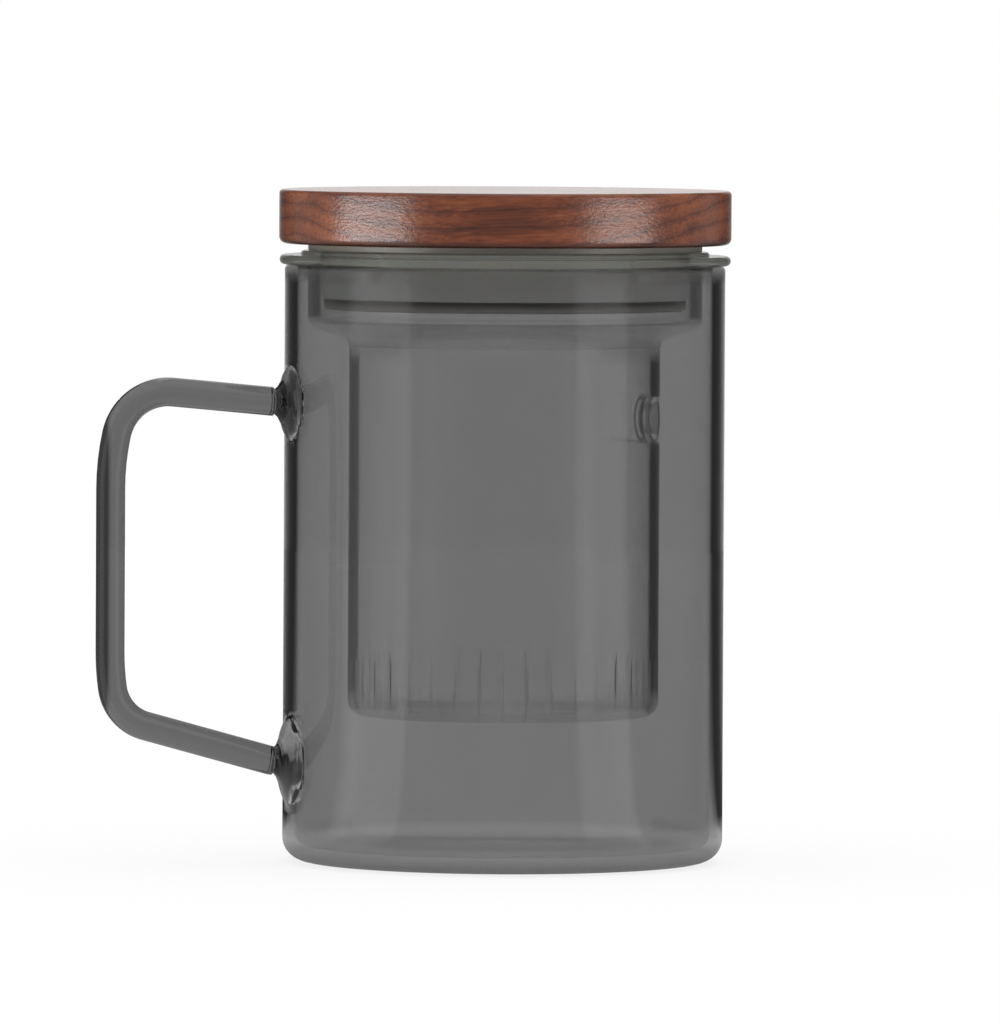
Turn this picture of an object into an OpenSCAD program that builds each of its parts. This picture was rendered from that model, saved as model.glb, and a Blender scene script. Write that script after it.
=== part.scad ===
// A lidded tea mug with an infuser. The mug is a straight glass cup with a bent glass rod for a
// handle. A glass infuser hangs in it by a flange on the mug's rim, and strains the tea through
// narrow slits round its foot. A wooden lid with a soft seal closes the infuser's mouth.
// Millimetres, +Z up. The origin is the middle of the mug's underside, and the handle points
// along -X. Outlines are half sections, [distance from the axis, height, radius of the corner].

/* [Mug] */
// Outside diameter of the mug
mug_d = 85; // [80:0.5:95]
// Height of the mug's rim
mug_h = 115; // [100:1:135]
// Thickness of the mug's wall
mug_wall = 2.5; // [2.2:0.1:3.5]
// Thickness of the mug's base
base_t = 3; // [2:0.5:6]
// Radius of the outer edge under the mug
base_edge_r = 3; // [2:0.5:8]
// Radius inside the mug, where the wall meets the floor
floor_edge_r = 3; // [1:0.5:6]
// Radius of both edges of the fire-polished rim
rim_edge_r = 1; // [0.4:0.1:1]

/* [Handle] */
// Thickness of the handle's rod
rod_d = 5.6; // [4.8:0.1:8]
// Distance from the mug's side to the middle of the grip
grip_out = 35.1; // [26:0.1:45]
// Distance from the mug's rim down to the upper arm, at the mug's side
upper_arm_drop = 26.5; // [22:0.5:34]
// Height of the lower arm at the mug's side
lower_arm_z = 18.8; // [14:0.1:28]
// Rise of the upper arm away from the mug, in degrees
upper_slope = 5.4; // [0:0.1:20]
// Rise of the lower arm away from the mug, in degrees
lower_slope = 15.6; // [0:0.1:25]
// Radius of the upper bend along the middle of the rod
upper_bend_r = 10.3; // [6:0.1:16]
// Radius of the lower bend along the middle of the rod
lower_bend_r = 8.9; // [6:0.1:16]
// Radius of the slight curve at each end of the grip, where it runs into a bend
ease_r = 50; // [30:1:80]
// Turn of that curve at the grip's upper end, in degrees
upper_ease = 12; // [2:0.5:14]
// Turn of that curve at the grip's lower end, in degrees
lower_ease = 8; // [2:0.5:14]
// Thickness of the weld where it takes the rod
weld_neck_d = 5.4; // [4:0.1:7]
// Length of the weld from the mug's side to the end of the rod
weld_l = 3.1; // [2.6:0.1:5]
// Diameter of the weld on the mug's side
weld_foot_d = 12.4; // [12:0.1:16]
// Thickness of the weld at its edge
weld_edge_t = 0.3; // [0.2:0.1:0.6]
// Radius of the flare between the weld's neck and its foot
weld_flare_r = 2.4; // [1:0.1:2.6]

/* [Infuser] */
// Gap all round between the mug's inside and the infuser's collar
collar_gap = 2; // [1:0.1:4]
// Thickness of the collar's wall
collar_wall = 2.2; // [1.6:0.1:3]
// Depth of the collar below the mug's rim, down to its shoulder
collar_h = 11.75; // [9:0.25:16]
// Radius of the edge at the bottom of the collar
collar_edge_r = 2; // [1:0.1:3]
// Slope of the shoulder between collar and tube, in degrees
shoulder_slope = 18; // [5:1:35]
// Radius between the shoulder and the outside of the tube
shoulder_r = 3; // [1.5:0.1:4]
// Outside diameter of the infuser's tube
tube_d = 60; // [50:0.5:63]
// Thickness of the tube's wall and of the shoulder
tube_wall = 2; // [1.5:0.1:2.5]
// Depth of the infuser below the mug's rim
infuser_h = 86.8; // [60:0.2:90]
// Thickness of the infuser's floor
floor_t = 1.5; // [1:0.1:3]
// Radius of the outer edge under the infuser
tube_edge_r = 2.8; // [1:0.1:4]
// Radius of the corners inside the infuser
inner_edge_r = 0.8; // [0.3:0.1:1.2]
// How far the flange stands out past the mug's side
flange_over = 1; // [0.3:0.1:2]
// Thickness of the flange
flange_t = 1.9; // [1.4:0.1:3]
// Radius of both edges of the flange
flange_edge_r = 0.9; // [0.3:0.1:0.9]
// Radius under the flange, where it meets the collar
flange_fillet_r = 1.2; // [0.5:0.1:1.5]
// Width of the lip outside the collar, on top of the flange
lip_over = 1.4; // [0.8:0.1:2]
// Height of the lip above the flange
lip_h = 0.8; // [0.5:0.1:1.5]
// Radius of both edges of the lip
lip_edge_r = 0.6; // [0.2:0.1:0.7]
// Number of slits round the foot of the tube
slit_count = 40; // [20:1:48]
// Width of each slit
slit_w = 0.5; // [0.3:0.1:1]
// Height of each slit above the infuser's floor
slit_h = 9.5; // [5:0.5:20]
// How far each slit cuts the floor, in from the inside of the wall
slit_in = 0.5; // [0.2:0.1:2]
// Turn of the first slit away from the hole, in degrees
slit_start = 4; // [0:0.5:9]
// Diameter of the round hole high in the tube's wall
hole_d = 6; // [4:0.5:8]
// Depth of the middle of the hole below the mug's rim
hole_drop = 29.7; // [26:0.1:45]
// Width of the bead round the hole
bead_w = 1.6; // [0.8:0.1:2.4]
// How far the bead stands out of the wall, inside and outside
bead_rise = 0.4; // [0.2:0.1:0.8]
// Radius of the bead's edges
bead_edge_r = 0.7; // [0.3:0.1:0.9]

/* [Lid] */
// How far the lid stands out past the mug's side
lid_over = 1.1; // [0:0.1:4]
// Thickness of the lid's disc
lid_t = 10.4; // [6:0.1:16]
// Radius of both edges of the disc
lid_edge_r = 0.6; // [0.3:0.1:2]
// Depth of the plug below the disc
plug_h = 12.6; // [8:0.1:13.5]
// Gap all round between the plug and the inside of the collar
plug_gap = 0.9; // [0.5:0.1:2]
// Thickness of the plug's bottom rim, which keeps the seal on
plug_rim_t = 1.9; // [1:0.1:3]
// Radius of the edge under the plug
plug_edge_r = 0.8; // [0.3:0.1:0.9]
// Depth of the groove that the seal sits in
groove_in = 1.9; // [0.8:0.1:4]

/* [Seal] */
// Thickness of the seal's flange, between the disc and the infuser's lip
seal_flange_t = 1.35; // [0.8:0.05:2.5]
// How far the seal's flange stays inside the lip's edge
seal_flange_in = 1.4; // [0.4:0.1:2.4]
// Gap all round between the seal and the inside of the collar
seal_gap = 0.2; // [0.1:0.05:0.4]
// Gap all round between the seal and the bottom of its groove
groove_fit = 0.05; // [0.02:0.01:0.2]
// Radius of the edge under the seal
seal_edge_r = 0.6; // [0.2:0.1:0.8]

/* [Hidden] */
$fn = 96;

// How far a cut runs past the surface it cuts
past = 1;
// How far a corner's cut reaches past its corner, as a share of the distance to its centre
corner_past = 0.15;
// How far the pieces of the rod run into each other, and the hair by which their radii differ
joint_past = 0.2;
joint_hair = 0.01;

mug_r = mug_d / 2;
rod_r = rod_d / 2;
upper_arm_z = mug_h - upper_arm_drop;
grip_x = mug_r + grip_out;
weld_end_x = mug_r + weld_l;

collar_r = mug_r - mug_wall - collar_gap;
collar_bore_r = collar_r - collar_wall;
collar_z = mug_h - collar_h;
tube_r = tube_d / 2;
tube_bore_r = tube_r - tube_wall;
tube_z = mug_h - infuser_h;
floor_z = tube_z + floor_t;
flange_r = mug_r + flange_over;
flange_z = mug_h + flange_t;
lip_r = collar_r + lip_over;
lip_z = flange_z + lip_h;
hole_z = mug_h - hole_drop;

lid_z = lip_z + seal_flange_t;
lid_r = mug_r + lid_over;
plug_r = collar_bore_r - plug_gap;
plug_z = lid_z - plug_h;
groove_r = plug_r - groove_in;
seal_z = plug_z + plug_rim_t;
seal_r = collar_bore_r - seal_gap;
seal_flange_r = lip_r - seal_flange_in;

// A vector of length 1
function unit(v) = v / norm(v);

// The first two numbers of an outline's point
function flat(p) = [p[0], p[1]];

// Half the angle between the two sides that meet in the corner b
function half_angle(a, b, c) = acos(unit(a - b) * unit(c - b)) / 2;

// The centre of the circle of radius r that rounds the corner b
function round_centre(a, b, c, r) =
    b + unit(unit(a - b) + unit(c - b)) * r / sin(half_angle(a, b, c));

// The point where that circle meets the side from b to a
function round_start(a, b, c, r) = b + unit(a - b) * r / tan(half_angle(a, b, c));

// True where an anticlockwise outline turns right, so that its corner b is an inner one
function inner(a, b, c) = cross(b - a, c - b) < 0;

// An outline's points with its inner corners filled out to the middle of their circles
function filled(a, b, c, r) = r > 0 && inner(a, b, c)
    ? [round_start(a, b, c, r), round_centre(a, b, c, r), round_start(c, b, a, r)]
    : [b];

// What rounding an outer corner b takes away
module corner_cut(a, b, c, r) {
    centre = round_centre(a, b, c, r);
    difference() {
        polygon([centre, round_start(a, b, c, r),
                 b + (b - centre) * corner_past, round_start(c, b, a, r)]);
        translate(centre) circle(r = r);
    }
}

// An anticlockwise outline with each corner rounded by its own radius
module rounded(points) {
    n = len(points);
    corners = [for (i = [0:n - 1])
        [flat(points[(i + n - 1) % n]), flat(points[i]), flat(points[(i + 1) % n]), points[i][2]]];
    difference() {
        polygon([for (k = corners) each filled(k[0], k[1], k[2], k[3])]);
        for (k = corners)
            if (k[3] > 0) {
                if (inner(k[0], k[1], k[2]))
                    translate(round_centre(k[0], k[1], k[2], k[3])) circle(r = k[3]);
                else
                    corner_cut(k[0], k[1], k[2], k[3]);
            }
    }
}

// A straight-sided cup with a rounded foot and a fire-polished rim
module mug_body() {
    bore_r = mug_r - mug_wall;
    color([0.42, 0.43, 0.43, 0.5])
        rotate_extrude()
            rounded([
                [0, 0, 0],
                [mug_r, 0, base_edge_r],
                [mug_r, mug_h, rim_edge_r],
                [bore_r, mug_h, rim_edge_r],
                [bore_r, base_t, floor_edge_r],
                [0, base_t, 0]]);
}

// A straight piece of the handle's rod. It is a hair thinner than the bends and runs a little
// way into them, so that their surfaces cross cleanly and they make one solid.
module straight_rod(length) {
    translate([0, 0, -joint_past])
        cylinder(r = rod_r - joint_hair, h = length + 2 * joint_past);
}

// A bend of the rod in the XZ plane round the origin, from one angle to another
module bent_rod(bend_r, from, to, hair = 0) {
    rotate([90, 0, 0])
        rotate([0, 0, from])
            rotate_extrude(angle = to - from)
                translate([bend_r, 0])
                    circle(r = rod_r - hair);
}

// The middle of a bend, measured from the end of the straight grip below it
function bend_centre(bend_r, ease) =
    (ease_r - bend_r) * [cos(ease), sin(ease)] - [ease_r, 0];

// The point where an arm leaves its bend, and the arm's length from there to the mug's side
function arm_start(bend_r, ease, turn) =
    bend_centre(bend_r, ease) + bend_r * [cos(turn), sin(turn)];
function arm_length(start, turn) = (start[0] + grip_out) / sin(turn);

// How far above the end of the straight grip its arm meets the mug's side
function arm_rise(bend_r, ease, turn) =
    let (start = arm_start(bend_r, ease, turn))
    start[1] + arm_length(start, turn) * cos(turn);

// The rod from the upper end of the straight grip, at the origin, round to the mug's side. The
// slight curve is two hairs thinner, so that it crosses the grip and the bend cleanly too.
module bend_and_arm(bend_r, ease, turn) {
    centre = bend_centre(bend_r, ease);
    start = arm_start(bend_r, ease, turn);
    past_angle = joint_past / ease_r * 180 / PI;
    translate([-ease_r, 0, 0])
        bent_rod(ease_r, -past_angle, ease + past_angle, 2 * joint_hair);
    translate([centre[0], 0, centre[1]])
        bent_rod(bend_r, ease, turn);
    translate([start[0], 0, start[1]])
        rotate([0, -turn, 0])
            straight_rod(arm_length(start, turn));
}

// One rod bent into two arms and a grip, drawn towards +X and turned round. Each arm is drawn
// from its bend into the mug and cut off flat where its weld begins.
module handle_rod() {
    upper_turn = 90 + upper_slope;
    lower_turn = 90 - lower_slope;
    upper_z = upper_arm_z - arm_rise(upper_bend_r, upper_ease, upper_turn);
    lower_z = lower_arm_z + arm_rise(lower_bend_r, lower_ease, lower_turn);
    color([0.42, 0.43, 0.43, 0.6])
        rotate([0, 0, 180])
            difference() {
                union() {
                    translate([grip_x, 0, upper_z])
                        bend_and_arm(upper_bend_r, upper_ease, upper_turn);
                    translate([grip_x, 0, lower_z])
                        straight_rod(upper_z - lower_z);
                    translate([grip_x, 0, lower_z])
                        mirror([0, 0, 1])
                            bend_and_arm(lower_bend_r, lower_ease, lower_turn);
                }
                translate([0, -rod_d, 0])
                    cube([weld_end_x, 2 * rod_d, mug_h]);
            }
}

// Glass melted between the mug's side and one arm of the handle, level with the arm's end. It
// flares out onto the side, and its back takes the side's own curve.
module handle_weld(arm_z, slope) {
    foot_r = weld_foot_d / 2;
    neck_r = weld_neck_d / 2;
    end_z = arm_z + weld_l * tan(slope);
    color([0.46, 0.47, 0.46, 0.6])
        rotate([0, 0, 180])
            difference() {
                translate([mug_r, 0, end_z])
                    rotate([0, 90, 0])
                        rotate_extrude()
                            rounded([
                                [0, -mug_wall, 0],
                                [foot_r, -mug_wall, 0],
                                [foot_r, weld_edge_t, 0],
                                [neck_r, weld_edge_t, weld_flare_r],
                                [neck_r, weld_l, 0],
                                [0, weld_l, 0]]);
                translate([0, 0, end_z - foot_r - past])
                    cylinder(r = mug_r, h = weld_foot_d + 2 * past, $fn = 4 * $fn);
            }
}

module upper_handle_weld() {
    handle_weld(upper_arm_z, upper_slope);
}

module lower_handle_weld() {
    handle_weld(lower_arm_z, lower_slope);
}

// The infuser's wall all round: lip, flange, collar, sloping shoulder, tube and floor
module infuser_wall() {
    shoulder_drop = (collar_r - tube_r) * tan(shoulder_slope);
    inner_collar_z = collar_z - collar_wall * tan(shoulder_slope) + tube_wall / cos(shoulder_slope);
    inner_drop = (collar_bore_r - tube_bore_r) * tan(shoulder_slope);
    rotate_extrude()
        rounded([
            [0, tube_z, 0],
            [tube_r, tube_z, tube_edge_r],
            [tube_r, collar_z - shoulder_drop, shoulder_r],
            [collar_r, collar_z, collar_edge_r],
            [collar_r, mug_h, flange_fillet_r],
            [flange_r, mug_h, flange_edge_r],
            [flange_r, flange_z, flange_edge_r],
            [lip_r, flange_z, 0],
            [lip_r, lip_z, lip_edge_r],
            [collar_bore_r, lip_z, lip_edge_r],
            [collar_bore_r, inner_collar_z, inner_edge_r],
            [tube_bore_r, inner_collar_z - inner_drop, shoulder_r + tube_wall],
            [tube_bore_r, floor_z, inner_edge_r],
            [0, floor_z, 0]]);
}

// Narrow saw cuts round the foot of the tube, from under its edge up the wall
module slits() {
    cut_in = tube_wall + slit_in;
    for (i = [0:slit_count - 1])
        rotate([0, 0, slit_start + i * 360 / slit_count])
            translate([tube_r - cut_in, -slit_w / 2, tube_z - past])
                cube([cut_in + past, slit_w, past + floor_t + slit_h]);
}

// The bead of melted glass round the hole, with its middle half way through the wall
module hole_bead() {
    bead_r = hole_d / 2 + bead_w;
    bead_t = tube_wall + 2 * bead_rise;
    translate([tube_r - tube_wall / 2 - bead_t / 2, 0, hole_z])
        rotate([0, 90, 0])
            rotate_extrude()
                rounded([
                    [0, 0, 0],
                    [bead_r, 0, bead_edge_r],
                    [bead_r, bead_t, bead_edge_r],
                    [0, bead_t, 0]]);
}

// A glass strainer with slits round its foot, and one round hole high in its wall
module infuser() {
    color([0.72, 0.78, 0.74, 0.5])
        difference() {
            union() {
                infuser_wall();
                hole_bead();
            }
            slits();
            translate([tube_bore_r - tube_wall - bead_rise, 0, hole_z])
                rotate([0, 90, 0])
                    cylinder(d = hole_d, h = 3 * tube_wall + 2 * bead_rise);
        }
}

// The lid's flat disc
module lid_disc() {
    color([0.42, 0.22, 0.16])
        rotate_extrude()
            rounded([
                [0, lid_z, 0],
                [lid_r, lid_z, lid_edge_r],
                [lid_r, lid_z + lid_t, lid_edge_r],
                [0, lid_z + lid_t, 0]]);
}

// The plug glued under the disc, with a groove for the seal above its bottom rim
module lid_plug() {
    color([0.2, 0.13, 0.1])
        rotate_extrude()
            rounded([
                [0, plug_z, 0],
                [plug_r, plug_z, plug_edge_r],
                [plug_r, seal_z, 0],
                [groove_r, seal_z, 0],
                [groove_r, lid_z, 0],
                [0, lid_z, 0]]);
}

// The soft seal: a sleeve in the plug's groove, and a flange that the lid rests on
module seal_ring() {
    inner_r = groove_r + groove_fit;
    color([0.8, 0.8, 0.78, 0.7])
        rotate_extrude()
            rounded([
                [inner_r, seal_z, 0],
                [seal_r, seal_z, seal_edge_r],
                [seal_r, lip_z, 0],
                [seal_flange_r, lip_z, 0],
                [seal_flange_r, lid_z, 0],
                [inner_r, lid_z, 0]]);
}

mug_body();
handle_rod();
upper_handle_weld();
lower_handle_weld();
infuser();
lid_disc();
lid_plug();
seal_ring();
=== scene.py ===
# %% [markdown]
# # A lidded tea mug with an infuser
# The mug is a straight smoke-grey glass with a bent glass rod for a handle. A clear glass infuser
# hangs in it, and a lacquered wooden lid with a soft seal closes the infuser. This lesson takes the
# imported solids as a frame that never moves, and builds what an eye sees around it: fused glass,
# a strainer with its saw cuts, grained wood and pale silicone.

# %% Load the frame
import math

import bmesh
import bpy
from mathutils import Matrix, Vector


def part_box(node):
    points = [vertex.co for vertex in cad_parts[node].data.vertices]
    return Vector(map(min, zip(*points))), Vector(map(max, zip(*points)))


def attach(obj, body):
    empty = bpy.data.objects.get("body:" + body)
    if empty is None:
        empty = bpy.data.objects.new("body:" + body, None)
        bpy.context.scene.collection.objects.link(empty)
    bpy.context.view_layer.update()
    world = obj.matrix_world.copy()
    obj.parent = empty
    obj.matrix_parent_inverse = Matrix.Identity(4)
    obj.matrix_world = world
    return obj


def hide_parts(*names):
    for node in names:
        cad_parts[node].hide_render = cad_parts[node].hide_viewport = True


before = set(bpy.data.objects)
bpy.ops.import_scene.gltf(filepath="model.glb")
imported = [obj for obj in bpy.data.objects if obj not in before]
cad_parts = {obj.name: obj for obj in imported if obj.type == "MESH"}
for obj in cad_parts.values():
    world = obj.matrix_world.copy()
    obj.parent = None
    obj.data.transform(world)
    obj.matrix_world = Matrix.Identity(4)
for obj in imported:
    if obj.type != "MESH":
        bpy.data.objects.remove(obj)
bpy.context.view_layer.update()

# %% [markdown]
# ## Sizes
# Blender works in metres and the mug was drawn in millimetres, so every length below is written
# in millimetres times `MM`. What the frame can tell is measured on it. The rest, such as a wall
# that no box shows, is named where it is first needed.

# %% Measure the frame
MM = 0.001


def reach(node):
    """How far a node reaches out from the mug's axis."""
    low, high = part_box(node)
    return max(high.x, -low.x)


def level(node, top=True):
    """The height of a node's top or underside."""
    low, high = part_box(node)
    return high.z if top else low.z


MUG_R = reach("mug_body")
MUG_H = level("mug_body")
FLANGE_R = reach("infuser")
INFUSER_Z = level("infuser", top=False)
LIP_Z = level("infuser")
LID_R = reach("lid_disc")
LID_Z = level("lid_disc", top=False)
LID_TOP_Z = level("lid_disc")
PLUG_R = reach("lid_plug")
PLUG_Z = level("lid_plug", top=False)
SEAL_FLANGE_R = reach("seal_ring")
SEAL_RISE = 0.25 * MM
SEAL_Z = level("seal_ring", top=False) + SEAL_RISE
GRIP_OUT_X = reach("handle_rod")
print(f"mug {2 * MUG_R / MM:.1f} wide and {MUG_H / MM:.1f} high, lid {2 * LID_R / MM:.1f} wide")

# %% [markdown]
# ## The camera
# The picture was taken from far away with a long lens, a little above the mug's middle, so the
# rims are thin ellipses. The camera stands on a circle round the mug, turned by `CAMERA_TURN`.
# Blender's `lens` is in millimetres on a 36 mm sensor, which spans the picture's longer side.

# %% Set up the camera
PICTURE_H = 1024
SENSOR = 36.0
CAMERA_TURN = math.radians(-14)
CAMERA_PITCH = math.radians(2.5)
CAMERA_ROLL = math.radians(0.3)
CAMERA_AWAY = 2316 * MM
AIM_Z = 67.3 * MM
AIM_SIDE = -0.75 * MM
PIXEL = 0.193 * MM

to_camera = Vector((
    math.sin(CAMERA_TURN) * math.cos(CAMERA_PITCH),
    -math.cos(CAMERA_TURN) * math.cos(CAMERA_PITCH),
    math.sin(CAMERA_PITCH)))
camera_right = Vector((math.cos(CAMERA_TURN), math.sin(CAMERA_TURN), 0))
camera = bpy.data.objects.new("camera", bpy.data.cameras.new("camera"))
bpy.context.scene.collection.objects.link(camera)
camera.data.sensor_width = SENSOR
camera.data.lens = CAMERA_AWAY / PIXEL / PICTURE_H * SENSOR
camera.location = Vector((0, 0, AIM_Z)) + camera_right * AIM_SIDE + to_camera * CAMERA_AWAY
camera.rotation_mode = "QUATERNION"
camera.rotation_quaternion = (
    (-to_camera).to_track_quat("-Z", "Y") @ Matrix.Rotation(CAMERA_ROLL, 3, "Z").to_quaternion())
camera.data.clip_start = 0.1
camera.data.clip_end = 50
bpy.context.scene.camera = camera
bpy.context.scene.view_settings.view_transform = "Standard"
print(f"camera lens {camera.data.lens:.0f} mm")

# %% [markdown]
# ## Turned shapes from rounded outlines
# Glass tubes, discs and rings are all solids of revolution. One could stack cylinders and bevel
# them, but a bevel can't follow a blown shoulder. So each piece is an outline, a list of
# `(distance from the axis, height, corner radius)`. The corners are rounded with arcs, and the
# long stretches are divided, so that later cuts have small faces to work on.

# %% Rounded outlines
ARC_STEP = math.radians(9)
LONG_STRETCH = 2.5 * MM


def rounded(points):
    """An anticlockwise outline with each corner replaced by an arc of its own radius."""
    outline = []
    for i, (x, z, radius) in enumerate(points):
        corner = Vector((x, z))
        if radius == 0:
            outline.append(corner)
            continue
        back = (Vector(points[i - 1][:2]) - corner).normalized()
        on = (Vector(points[(i + 1) % len(points)][:2]) - corner).normalized()
        half = back.angle(on) / 2
        centre = corner + (back + on).normalized() * radius / math.sin(half)
        first = corner + back * radius / math.tan(half) - centre
        turn = math.pi - 2 * half
        if back.x * on.y - back.y * on.x > 0:
            turn = -turn
        count = max(2, math.ceil(abs(turn) / ARC_STEP))
        for k in range(count + 1):
            outline.append(centre + Matrix.Rotation(turn * k / count, 2) @ first)
    return outline


def divided(outline, longest=LONG_STRETCH):
    """The same outline with its long stretches cut into shorter ones."""
    points = []
    for a, b in zip(outline, outline[1:]):
        count = max(1, math.ceil((b - a).length / longest))
        points.extend(a.lerp(b, k / count) for k in range(count))
    return points + [outline[-1]]


# %% [markdown]
# The outline is then copied round the axis. A Screw modifier could do that too, but with plain
# vertices a point on the axis is one single vertex, so the middle of a base or lid stays clean.
# Faces are shaded smooth, and only the edges where they meet at more than `SHARP` are creases.

# %% Turning an outline
TURN_SIDES = 256
ON_AXIS = 1e-9
SHARP = math.radians(32)


def circle(sides):
    """The cosine and sine of each step round a circle."""
    turns = [2 * math.pi * k / sides for k in range(sides)]
    return [(math.cos(turn), math.sin(turn)) for turn in turns]


def skin(rings, closed=False):
    """Vertices and faces of a skin over rings of points. A ring of one point is a tip."""
    sides = max(len(ring) for ring in rings)
    vertices, numbers = [], []
    for ring in rings:
        first = len(vertices)
        vertices.extend(ring)
        numbers.append(list(range(first, len(vertices))) if len(ring) > 1 else [first] * sides)
    pairs = list(zip(numbers, numbers[1:]))
    if closed:
        pairs.append((numbers[-1], numbers[0]))
    faces = []
    for low, high in pairs:
        for k in range(sides):
            face = [low[k], low[(k + 1) % sides], high[(k + 1) % sides], high[k]]
            faces.append(list(dict.fromkeys(face)))
    return vertices, [face for face in faces if len(face) > 2]


def turned(outline, sides):
    """The skin of an outline turned round Z. A point on the axis makes one vertex."""
    rings = []
    for p in outline:
        ring = [(p.x * c, p.x * s, p.y) for c, s in circle(sides)]
        rings.append([(0, 0, p.y)] if p.x < ON_AXIS else ring)
    return skin(rings, closed=outline[0].x > ON_AXIS)


def smooth(thing):
    """Smooth shading, with creases only where faces meet at a sharp angle."""
    thing.data.shade_smooth()
    thing.data.set_sharp_from_angle(angle=SHARP)


def piece(name, vertices, faces):
    """A new object from vertices and faces."""
    mesh = bpy.data.meshes.new(name)
    mesh.from_pydata(vertices, [], faces)
    thing = bpy.data.objects.new(name, mesh)
    bpy.context.scene.collection.objects.link(thing)
    smooth(thing)
    return thing


def turned_piece(name, points, sides=TURN_SIDES, longest=LONG_STRETCH):
    """A new object from an outline with its corner radii."""
    vertices, faces = turned(divided(rounded(points), longest), sides)
    thing = piece(name, vertices, faces)
    print(name, "has", len(faces), "faces")
    return thing


# %% [markdown]
# ## Joining and cutting glass
# Fused glass has no surface inside it, and light shows any that is left. The Boolean modifier
# makes one skin of two closed meshes, or takes one from the other. Its result is read back from
# the evaluated object, and the tool is thrown away.

# %% Boolean helper
def combine(thing, tool, operation):
    """Joins the tool to a piece, or cuts it out, and applies the result."""
    boolean = thing.modifiers.new("combine", "BOOLEAN")
    boolean.operation = operation
    boolean.solver = "EXACT"
    boolean.object = tool
    bpy.context.view_layer.update()
    evaluated = thing.evaluated_get(bpy.context.evaluated_depsgraph_get())
    mesh = bpy.data.meshes.new_from_object(evaluated)
    thing.modifiers.remove(boolean)
    thing.data = mesh
    thing.data.name = thing.name
    bpy.data.objects.remove(tool)
    smooth(thing)
    print(f"{thing.name} after {operation.lower()}: {len(thing.data.polygons)} faces")


# %% [markdown]
# ## The mug's body
# A drawn glass tube with its bottom melted flat and its rim fire-polished round. It is one turned
# outline, out along the underside, up the outside, over the rim and down the bore. A cylinder
# with a Solidify modifier would give the wall too, but not a base and a rim of their own shape.

# %% Mug body
MUG_WALL = 2.5 * MM
BASE_T = 3 * MM
BASE_EDGE_R = 4.5 * MM
FLOOR_EDGE_R = 2 * MM
RIM_EDGE_R = 1 * MM
MUG_BORE_R = MUG_R - MUG_WALL

mug = turned_piece("mug_glass", [
    (0, 0, 0),
    (MUG_R, 0, BASE_EDGE_R),
    (MUG_R, MUG_H, RIM_EDGE_R),
    (MUG_BORE_R, MUG_H, RIM_EDGE_R),
    (MUG_BORE_R, BASE_T, FLOOR_EDGE_R),
    (0, BASE_T, 0)])

# %% [markdown]
# ## The handle's rod
# The handle is one glass rod. Its middle line runs straight out in the upper arm, round a bend,
# eases into the grip, and comes back the same way to the lower arm. A curve object with a bevel
# would sweep a rod along it, but the ends have to flare out onto the mug's side, so the line is
# worked out here and gets its own rings in the next steps.

# %% The rod's middle line
ROD_R = (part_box("handle_rod")[1].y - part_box("handle_rod")[0].y) / 2
GRIP_X = GRIP_OUT_X - ROD_R
UPPER_ARM_Z = MUG_H - 26.5 * MM
LOWER_ARM_Z = 18.8 * MM
UPPER_SLOPE = math.radians(5.4)
LOWER_SLOPE = math.radians(15.6)
UPPER_BEND_R = 10.3 * MM
LOWER_BEND_R = 8.9 * MM
EASE_R = 50 * MM
EASE_STEPS = 4
UPPER_EASE = math.radians(12)
LOWER_EASE = math.radians(8)
WELD_L = 3.6 * MM
ROD_STEP = 1.2 * MM
BEND_STEP = math.radians(5)


def arm_line(bend_r, ease, slope):
    """Points from the end of the straight grip to the end of an arm, as (out, up) from there."""
    turn = math.pi / 2 + slope
    ease_centre = Vector((-EASE_R, 0))
    bend_centre = ease_centre + (EASE_R - bend_r) * Vector((math.cos(ease), math.sin(ease)))
    line = []
    for k in range(1, EASE_STEPS + 1):
        a = ease * k / EASE_STEPS
        line.append(ease_centre + EASE_R * Vector((math.cos(a), math.sin(a))))
    count = math.ceil((turn - ease) / BEND_STEP)
    for k in range(1, count + 1):
        a = ease + (turn - ease) * k / count
        line.append(bend_centre + bend_r * Vector((math.cos(a), math.sin(a))))
    heading = Vector((-math.sin(turn), math.cos(turn)))
    length = (line[-1].x + GRIP_X - MUG_R - WELD_L) / math.sin(turn)
    start = line[-1].copy()
    count = math.ceil(length / ROD_STEP)
    line.extend(start + heading * length * k / count for k in range(1, count + 1))
    return line


def handle_line():
    """The rod's middle line as (x, z), from the upper arm's end round to the lower arm's end."""
    upper = arm_line(UPPER_BEND_R, UPPER_EASE, UPPER_SLOPE)
    lower = arm_line(LOWER_BEND_R, LOWER_EASE, -LOWER_SLOPE)
    upper_z = UPPER_ARM_Z + WELD_L * math.tan(UPPER_SLOPE) - upper[-1].y
    lower_z = LOWER_ARM_Z + WELD_L * math.tan(LOWER_SLOPE) + lower[-1].y
    line = [Vector((-GRIP_X - p.x, upper_z + p.y)) for p in reversed(upper)]
    count = math.ceil((upper_z - lower_z) / ROD_STEP)
    line.extend(
        Vector((-GRIP_X, upper_z + (lower_z - upper_z) * k / count)) for k in range(count + 1))
    line.extend(Vector((-GRIP_X - p.x, lower_z - p.y)) for p in lower)
    return line


rod_line = handle_line()
print(f"rod line: {len(rod_line)} points, ends {rod_line[0] / MM} and {rod_line[-1] / MM}")

# %% [markdown]
# Rings are put round that line, each square to it, and each with the same number of points, so
# that faces can join one ring to the next.

# %% Rings along the rod
ROD_SIDES = 48


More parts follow.
